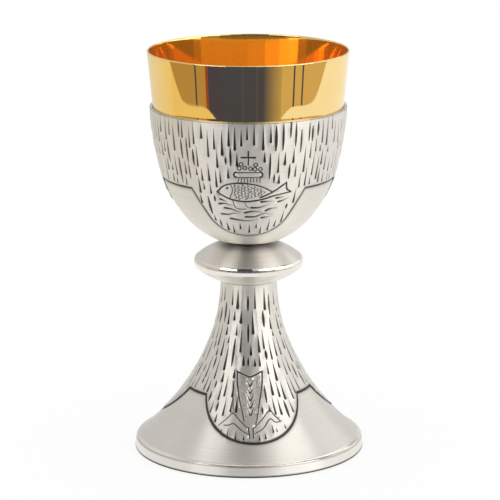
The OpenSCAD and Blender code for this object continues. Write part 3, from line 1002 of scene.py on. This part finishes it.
class Material:
    """A material's nodes, and what is built from them."""

    def __init__(self, name):
        self.data = bpy.data.materials.new(name)
        self.data.use_nodes = True
        self.tree = self.data.node_tree
        self.shader = self.tree.nodes["Principled BSDF"]

    def fill(self, node, values):
        """Sets a node's inputs, or links other nodes' outputs to them."""
        for name, value in dict(values).items():
            socket = node.inputs[name]
            if isinstance(value, bpy.types.NodeSocket):
                self.tree.links.new(value, socket)
            elif isinstance(value, tuple):
                socket.default_value = (*value, 1)[:len(socket.default_value)]
            else:
                socket.default_value = value

    def node(self, kind, values=()):
        node = self.tree.nodes.new("ShaderNode" + kind)
        self.fill(node, values)
        return node

    def noise(self, scale, detail=3.0):
        """Noise over the object's own coordinates, with a scale for each axis."""
        place = self.node("TexCoord").outputs["Object"]
        mapped = self.node("Mapping", {"Vector": place, "Scale": scale}).outputs["Vector"]
        return self.node("TexNoise", {"Vector": mapped, "Scale": 1.0, "Detail": detail}).outputs["Fac"]

    def ramp(self, value, low, high):
        """A colour that goes from low to high as the value grows."""
        node = self.node("ValToRGB", {"Fac": value})
        ends = ((RAMP_FROM, low), (RAMP_TO, high))
        for element, (position, colour) in zip(node.color_ramp.elements, ends):
            element.position = position
            element.color = (*colour, 1)
        return node.outputs["Color"]

    def mixed(self, factor, a, b):
        """A mix of two colours, each a tuple or another node's output."""
        node = self.node("Mix")
        node.data_type = "RGBA"
        self.fill(node, {"Factor": factor, 6: a, 7: b})
        return node.outputs[2]

    def attribute(self, name):
        node = self.node("Attribute")
        node.attribute_name = name
        return node.outputs["Fac"]

    def maths(self, operation, a, b):
        node = self.node("Math", {0: a, 1: b})
        node.operation = operation
        return node.outputs[0]


BRUSH_SCALE = (70, 70, 5200)
STREAK_SCALE = (20, 20, 1500)
CLOUD_SCALE = (45, 45, 60)
POLISHED_ROUGH = 0.13
QUARTER_TURN = 0.25
FINE_DETAIL = 2.0
BRUSH_DEPTH = 0.00004


def metal(name, low, high, roughness, brush=0.0, anisotropy=0.0, patina_and_painted_light_colour=None, patina_and_painted_light_rough=0.55,
          patina_and_painted_light_metal=1.0):
    """A metal with clouded colour and gloss, turning marks, and a marked colour: patina in its grooves,
    with painted shade and painted reflection where pieces mark them.
    """
    made = Material(name)
    look = {"Metallic": 1.0}
    cloud = made.noise(CLOUD_SCALE)
    colour = made.ramp(cloud, low, high)
    gloss = made.ramp(cloud, *map(grey, roughness))
    if brush:
        streak = made.ramp(made.noise(STREAK_SCALE, FINE_DETAIL), grey(0), grey(1))
        colour = made.mixed(streak, colour, high)
        marks = made.noise(BRUSH_SCALE, FINE_DETAIL)
        bump = made.node("Bump", {"Strength": brush, "Distance": BRUSH_DEPTH, "Height": marks})
        look["Normal"] = bump.outputs["Normal"]
    if patina_and_painted_light_colour:
        # The marked places take patina in the grooves, and painted shade and painted reflection
        patina_and_painted_light = made.attribute("patina_and_painted_light")
        colour = made.mixed(patina_and_painted_light, colour, patina_and_painted_light_colour)
        gloss = made.mixed(patina_and_painted_light, gloss, grey(patina_and_painted_light_rough))
    if patina_and_painted_light_metal < 1:
        look["Metallic"] = made.mixed(patina_and_painted_light, grey(1.0), grey(patina_and_painted_light_metal))
    if anisotropy:
        tangent = made.node("Tangent")
        tangent.direction_type = "RADIAL"
        tangent.axis = "Z"
        look["Tangent"] = tangent.outputs["Tangent"]
        look["Anisotropic"] = anisotropy
        look["Anisotropic Rotation"] = QUARTER_TURN
    look["Base Color"] = colour
    look["Roughness"] = made.mixed(made.attribute("polish"), gloss, grey(POLISHED_ROUGH))
    made.fill(made.shader, look)
    return made.data


# Silver; its dark marked colour is patina in the grooves, and painted shade beside the borders, on the
# knop, in the collar and along the base band
SILVER = {"low": (0.775, 0.74, 0.675), "high": (0.855, 0.82, 0.755), "anisotropy": 0.93,
          "patina_and_painted_light_colour": (0.085, 0.08, 0.08)}
FINISHES = {
    "silver_chased": dict(SILVER, roughness=(0.42, 0.48), brush=0.3),
    "silver_satin": dict(SILVER, roughness=(0.4, 0.46), brush=0.35),
    "silver_polished": dict(SILVER, low=(0.79, 0.755, 0.69), high=(0.865, 0.83, 0.765),
                            roughness=(0.3, 0.36), brush=0.25, anisotropy=0.9),
    # The gilt's marked colour, a deeper orange, is painted reflection inside the bowl
    "gilt": dict(low=(0.93, 0.68, 0.28), high=(0.96, 0.72, 0.32), roughness=(0.012, 0.03),
                 patina_and_painted_light_colour=(0.98, 0.48, 0.07), patina_and_painted_light_rough=0.055, patina_and_painted_light_metal=0.8),
    "brass": dict(low=(0.62, 0.45, 0.2), high=(0.74, 0.56, 0.28), roughness=(0.25, 0.4), brush=0.4),
    "steel": dict(low=(0.42, 0.43, 0.44), high=(0.55, 0.56, 0.57), roughness=(0.28, 0.42), brush=0.3),
}


# Studio

FLOOR_SIZE = 8.0
FLOOR_BACK = 1.0
FLOOR_Z = -0.0002
FLOOR_GREY = 0.2


def add_stage(name, points, faces, material):
    """A mesh of the studio, which isn't part of the cup."""
    mesh = bpy.data.meshes.new(name)
    mesh.from_pydata(points, [], faces)
    mesh.materials.append(material)
    thing = add_object(name, mesh)
    return thing


def make_floor():
    """A white floor. Part of its white is a glow that doesn't light the cup, to soften the shadow."""
    white = Material("floor_white")
    path = white.node("LightPath").outputs
    seen = path["Is Camera Ray"]
    for other in ("Is Glossy Ray", "Is Transmission Ray"):
        seen = white.maths("MAXIMUM", seen, path[other])
    white.fill(white.shader, {
        "Base Color": grey(FLOOR_GREY), "Roughness": 1.0, "Specular IOR Level": 0.0,
        "Emission Color": grey(1.0),
        "Emission Strength": white.maths("MULTIPLY", seen, 1 - FLOOR_GREY)})
    half = FLOOR_SIZE / 2
    corners = [(x, FLOOR_BACK + y, FLOOR_Z) for x in (-half, half) for y in (-half, half)]
    add_stage("floor", corners, [(0, 2, 3, 1)], white.data)


def make_world():
    world = bpy.data.worlds.new("studio")
    world.use_nodes = True
    background = world.node_tree.nodes["Background"].inputs
    background["Color"].default_value = (1, 1, 1, 1)
    background["Strength"].default_value = 1.0
    bpy.context.scene.world = world


STRIP_STEP = 4


def add_strip(name, edges, start, end, colour):
    """A card that runs round the cup between two azimuths and two edges. Only reflections see it."""
    made = Material(name)
    glow = made.node("Emission", {"Color": tuple(colour)}).outputs["Emission"]
    made.fill(made.tree.nodes["Material Output"], {"Surface": glow})
    steps = max(1, round((end - start) / STRIP_STEP))
    points = []
    for i in range(steps + 1):
        azimuth = start + (end - start) * i / steps
        a = math.radians(azimuth)
        for radius, z in [edge(azimuth) for edge in edges]:
            points.append((radius * math.sin(a), -radius * math.cos(a), z))
    faces = [(i, i + 2, i + 3, i + 1) for i in range(0, 2 * steps, 2)]
    card = add_stage(name, points, faces, made.data)
    card.visible_camera = False
    card.visible_diffuse = False
    card.visible_shadow = False
    card.visible_transmission = False


# The white table ends at these distances, by azimuth to either side, and the room beyond is darker
TABLE_EDGE = [
    (0, 0.45), (33, 0.479), (40, 0.499), (45, 0.512), (50, 0.523), (55, 0.53), (60, 0.536), (65, 0.542),
    (71, 0.551), (77, 0.563), (83, 0.581), (88, 0.611), (93, 0.65), (98, 0.7), (104, 0.77)]
CARD_Z = 0.003
ROOM_R = 1.7
DARK = (0.065, 0.08, 0.17)
BROWN = (0.47, 0.32, 0.13)
TAN = (0.66, 0.5, 0.25)
BEYOND_TABLE = [
    (-98.5, -62.5, BROWN), (-62.5, -60.5, DARK), (-60.5, -49, BROWN), (-49, -46, (0.3, 0.08, 0.05)),
    (-46, -30, (0.073, 0.072, 0.17)), (-30, -7, DARK), (-7, -5, (0.09, 0.095, 0.17)), (-5, 9, DARK),
    (9, 11, (0.1, 0.095, 0.16)), (11, 16, DARK),
    (38, 52, TAN), (52, 54, DARK), (54, 63, TAN), (63, 65, DARK), (65, 98.5, TAN)]
# Between these azimuths the dark room lightens in even steps
LIGHTENING = (16, 38, (0.08, 0.085, 0.16), (0.5, 0.39, 0.2))
LIGHTENING_STEPS = 11
# A card glowing on the table at the left, seen only in reflections, is painted reflection: its warm
# colour stands in for the gold's own light bounced back. The table is paler towards the back
WARM_R = 0.44
PAINTED_GOLD_BOUNCE = (-98.5, -30, (0.86, 0.71, 0.37))
WARM_BACK = [
    (-180, -138, (0.82, 0.79, 0.7)), (-138, -120, (0.86, 0.8, 0.68)), (-120, -109, (0.87, 0.79, 0.58)),
    (-109, -98.5, (0.88, 0.77, 0.48))]
# Walls of the room, from one azimuth to another, with the brightness in each band of height.
# A dark front, and a softbox to either side of it above a dark horizon
WALL_BANDS = (0.0, 0.2, 0.6, 1.0, 1.8, 3.2)
WALLS = [
    (-180, -64, (0.6, 0.65, 0.7, 0.8, 0.6)),
    (-64, -45, (0.15, 0.3, 4.3, 1.8, 0.2)),
    (-45, -26, (0.1, 0.1, 4.6, 0.7, 0.05)),
    (-26, 9, (0.1, 0.1, 0.05, 0.1, 0.05)),
    (9, 22, (0.1, 0.1, 0.6, 0.9, 0.05)),
    (22, 34, (0.1, 0.1, 3.3, 1.4, 0.05)),
    (34, 58, (0.12, 0.3, 5.2, 2.5, 0.3)),
    (58, 82, (0.2, 2.0, 4.4, 2.4, 0.3)),
    (82, 105, (0.5, 1.8, 1.4, 0.3, 0.05)),
    (105, 140, (0.8, 1.2, 0.95, 0.6, 0.4)),
    (140, 180, (0.8, 0.8, 0.6, 1.5, 1.2)),
]


def table_edge(azimuth):
    return float(np.interp(abs(azimuth), *np.transpose(TABLE_EDGE))), CARD_Z


def round_edge(radius, z):
    """An edge that runs round the cup at one distance and height."""
    return lambda azimuth: (radius, z)


def add_strips(name, edges, strips):
    for i, strip in enumerate(strips):
        add_strip("%s_%d" % (name, i), edges, *strip)


def make_room():
    room_edge, warm_edge = round_edge(ROOM_R, CARD_Z), round_edge(WARM_R, CARD_Z)
    add_strips("room_floor", (table_edge, room_edge), BEYOND_TABLE)
    first, last, dark, light = LIGHTENING
    ends = np.linspace(first, last, LIGHTENING_STEPS + 1)
    fade = zip(ends, ends[1:], np.linspace(dark, light, LIGHTENING_STEPS))
    add_strips("room_fade", (table_edge, room_edge), fade)
    # Painted reflection: the warm card stands in for the gold's bounced light
    add_strip("painted_gold_bounce", (warm_edge, table_edge), *PAINTED_GOLD_BOUNCE)
    add_strips("warm_back", (warm_edge, room_edge), WARM_BACK)
    for i, (start, end, levels) in enumerate(WALLS):
        for j, level in enumerate(levels):
            edges = [round_edge(ROOM_R, z) for z in WALL_BANDS[j:j + 2]]
            add_strip("room_wall_%d_%d" % (i, j), edges, start, end, grey(level))


CAMERA_PLACE = (0.0, -1.3182, 0.4156)
CAMERA_PITCH = 13.475
CAMERA_ROLL = -0.12
CAMERA_LENS = 197.4
CAMERA_SHIFT_X = 0.0028


def make_camera():
    data = bpy.data.cameras.new("camera")
    data.lens = CAMERA_LENS
    data.shift_x = CAMERA_SHIFT_X
    camera = add_object("camera", data)
    tilt = Matrix.Rotation(math.radians(90 - CAMERA_PITCH), 4, "X")
    roll = Matrix.Rotation(math.radians(CAMERA_ROLL), 4, "Z")
    camera.matrix_world = Matrix.Translation(CAMERA_PLACE) @ tilt @ roll
    bpy.context.scene.camera = camera


# The pieces, the body that each rides on, the node that it stands for and its finish

PIECES = [
    (make_shell, "cup", "shell", "silver_chased"),
    (make_foot, "foot", "foot_bell", "silver_chased"),
    (make_bowl, "cup", "bowl", "gilt"),
    (make_knop_upper, "foot", "knop_upper", "silver_satin"),
    (make_knop_lower, "foot", "knop_lower", "silver_satin"),
    (make_base_ring, "foot", "base_ring", "silver_polished"),
    (make_collar, "collar", "neck_collar", "silver_satin"),
    (make_stud, "cup", "bowl_stud", "steel"),
]
SOLIDS = {"stem_cap": "silver_satin", "clamp_washer": "steel", "spring_washer": "steel",
          "foot_bolt": "steel", "knop_core": "brass", "bowl_boss": "brass"}

make_camera()
make_floor()
make_world()
materials = {slot: metal(slot, **finish) for slot, finish in FINISHES.items()}
for make, body, node, slot in PIECES:
    piece = make()
    piece.data.materials.append(materials[slot])
    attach(piece, body)
    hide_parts(node)
for node, slot in SOLIDS.items():
    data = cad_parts[node].data
    data.materials.clear()
    data.materials.append(materials[slot])

make_room()

bpy.context.scene.view_settings.view_transform = "Standard"
